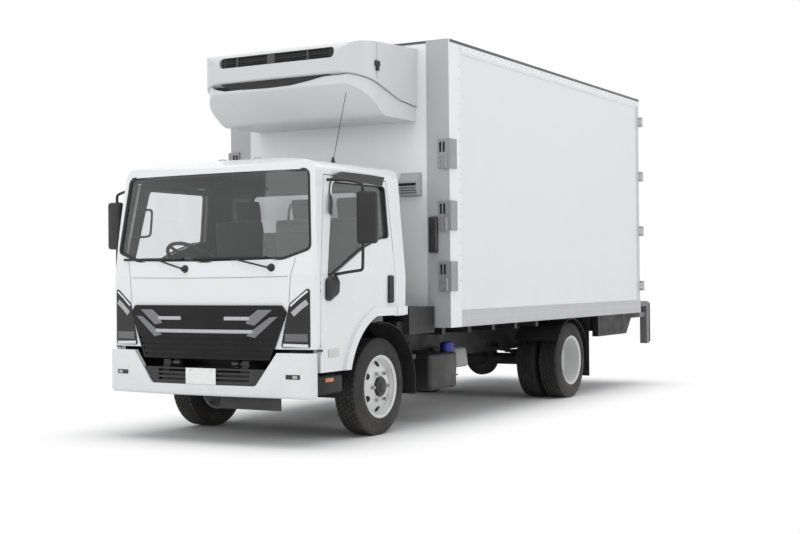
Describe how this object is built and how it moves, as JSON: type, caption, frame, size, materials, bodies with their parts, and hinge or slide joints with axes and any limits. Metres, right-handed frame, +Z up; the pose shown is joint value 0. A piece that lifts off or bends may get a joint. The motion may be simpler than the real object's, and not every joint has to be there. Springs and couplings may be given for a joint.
{
  "type": "refrigerated truck",
  "caption": "Small cab-over truck with an insulated box body, a refrigeration unit over the cab, twin rear wheels, hinged rear doors and a rear step.",
  "frame": {"origin": "middle of the truck's length and width, on the ground", "axes": "+X forward, +Y to the truck's left, +Z up"},
  "size_m": [7.285, 2.82, 3.395],
  "materials": {
    "white_paint": "gloss",
    "box_panel": "satin",
    "gray_trim": "satin",
    "zinc_steel": "satin",
    "chassis_black": "satin",
    "cast_gray": "matte",
    "tank_metal": "satin",
    "dark_plastic": "matte",
    "gray_bar": "satin",
    "lamp_clear": "gloss",
    "lamp_red": "gloss",
    "window_glass": "gloss",
    "tyre_rubber": "matte",
    "rim_paint": "gloss",
    "seat_cloth": "matte",
    "buffer_rubber": "matte",
    "unit_cover": "satin"
  },
  "bodies": {
    "chassis": {"chassis_frame": "chassis_black", "cross_members": "chassis_black", "body_bearers": "zinc_steel", "leaf_springs": "chassis_black", "front_axle_beam": "cast_gray", "rear_axle": "cast_gray", "engine_block": "cast_gray", "driveline": "cast_gray", "side_tanks": "tank_metal", "battery_box": "dark_plastic", "exhaust": "zinc_steel", "mudguards": "dark_plastic", "box_floor": "box_panel", "box_roof": "box_panel", "box_wall_left": "box_panel", "box_wall_right": "box_panel", "box_front_wall": "box_panel", "box_rear_frame": "zinc_steel", "box_edge_trim": "gray_trim", "corner_fittings": "zinc_steel", "front_vent": "gray_trim", "reefer_upper_shell": "unit_cover", "reefer_lower_cover": "unit_cover", "reefer_grilles": "dark_plastic", "rear_step": "zinc_steel", "dock_buffers": "buffer_rubber", "chassis_lamps": "lamp_red", "front_bumper": "white_paint", "bumper_insert": "dark_plastic"},
    "cab": {"cab_shell": "white_paint", "cab_glass": "window_glass", "grille_panel": "dark_plastic", "grille_bars": "gray_bar", "headlamps": "lamp_clear", "wipers": "dark_plastic", "dashboard": "dark_plastic", "seats": "seat_cloth"},
    "cab_door_left": {"cab_door_left": "white_paint", "door_glass_left": "window_glass", "mirror_left": "dark_plastic"},
    "cab_door_right": {"cab_door_right": "white_paint", "door_glass_right": "window_glass", "mirror_right": "dark_plastic"},
    "steering_wheel": {"steering_wheel": "dark_plastic"},
    "knuckle_left": {"knuckle_left": "cast_gray"},
    "knuckle_right": {"knuckle_right": "cast_gray"},
    "tie_rod": {"tie_rod": "chassis_black"},
    "wheel_front_left": {"tyre_front_left": "tyre_rubber", "rim_front_left": "rim_paint"},
    "wheel_front_right": {"tyre_front_right": "tyre_rubber", "rim_front_right": "rim_paint"},
    "wheel_rear_left": {"tyres_rear_left": "tyre_rubber", "rims_rear_left": "rim_paint"},
    "wheel_rear_right": {"tyres_rear_right": "tyre_rubber", "rims_rear_right": "rim_paint"},
    "rear_door_left": {"rear_door_left": "box_panel", "door_gear_left": "zinc_steel"},
    "rear_door_right": {"rear_door_right": "box_panel", "door_gear_right": "zinc_steel"}
  },
  "joints": [
    {"name": "cab_tilt", "type": "hinge", "parent": "chassis", "child": "cab", "pos_m": [3.5525, 0, 0.64], "axis": [0, 1, 0], "range_deg": [0, 45]},
    {"name": "cab_door_left_hinge", "type": "hinge", "parent": "cab", "child": "cab_door_left", "pos_m": [3.4545, 1.022, 1.2], "axis": [0, 0, -1], "range_deg": [0, 70]},
    {"name": "cab_door_right_hinge", "type": "hinge", "parent": "cab", "child": "cab_door_right", "pos_m": [3.4545, -1.022, 1.2], "axis": [0, 0, 1], "range_deg": [0, 70]},
    {"name": "steering_wheel_turn", "type": "hinge", "parent": "cab", "child": "steering_wheel", "pos_m": [3.1925, -0.45, 1.48], "axis": [-0.6018, 0, 0.7986], "range_deg": [-700, 700]},
    {"name": "steer_left", "type": "hinge", "parent": "chassis", "child": "knuckle_left", "pos_m": [2.4625, 0.69, 0.402], "axis": [0, 0, 1], "range_deg": [-38, 38]},
    {"name": "steer_right", "type": "hinge", "parent": "chassis", "child": "knuckle_right", "pos_m": [2.4625, -0.69, 0.402], "axis": [0, 0, 1], "range_deg": [-38, 38]},
    {"name": "tie_rod_pivot", "type": "hinge", "parent": "knuckle_left", "child": "tie_rod", "pos_m": [2.2825, 0.69, 0.28], "axis": [0, 0, 1], "range_deg": [-38, 38]},
    {"name": "wheel_front_left_spin", "type": "hinge", "parent": "knuckle_left", "child": "wheel_front_left", "pos_m": [2.4625, 0.84, 0.402], "axis": [0, 1, 0], "continuous": true},
    {"name": "wheel_front_right_spin", "type": "hinge", "parent": "knuckle_right", "child": "wheel_front_right", "pos_m": [2.4625, -0.84, 0.402], "axis": [0, 1, 0], "continuous": true},
    {"name": "wheel_rear_left_spin", "type": "hinge", "parent": "chassis", "child": "wheel_rear_left", "pos_m": [-1.3525, 0.825, 0.402], "axis": [0, 1, 0], "continuous": true},
    {"name": "wheel_rear_right_spin", "type": "hinge", "parent": "chassis", "child": "wheel_rear_right", "pos_m": [-1.3525, -0.825, 0.402], "axis": [0, 1, 0], "continuous": true},
    {"name": "rear_door_left_hinge", "type": "hinge", "parent": "chassis", "child": "rear_door_left", "pos_m": [-3.2435, 1.208, 2.1], "axis": [0, 0, -1], "range_deg": [0, 270]},
    {"name": "rear_door_right_hinge", "type": "hinge", "parent": "chassis", "child": "rear_door_right", "pos_m": [-3.2435, -1.208, 2.1], "axis": [0, 0, 1], "range_deg": [0, 270]}
  ],
  "couplings": [
    {"joint": "steer_right", "follows": "steer_left", "ratio": 1},
    {"joint": "tie_rod_pivot", "follows": "steer_left", "ratio": -1},
    {"joint": "steering_wheel_turn", "follows": "steer_left", "ratio": 18}
  ]
}
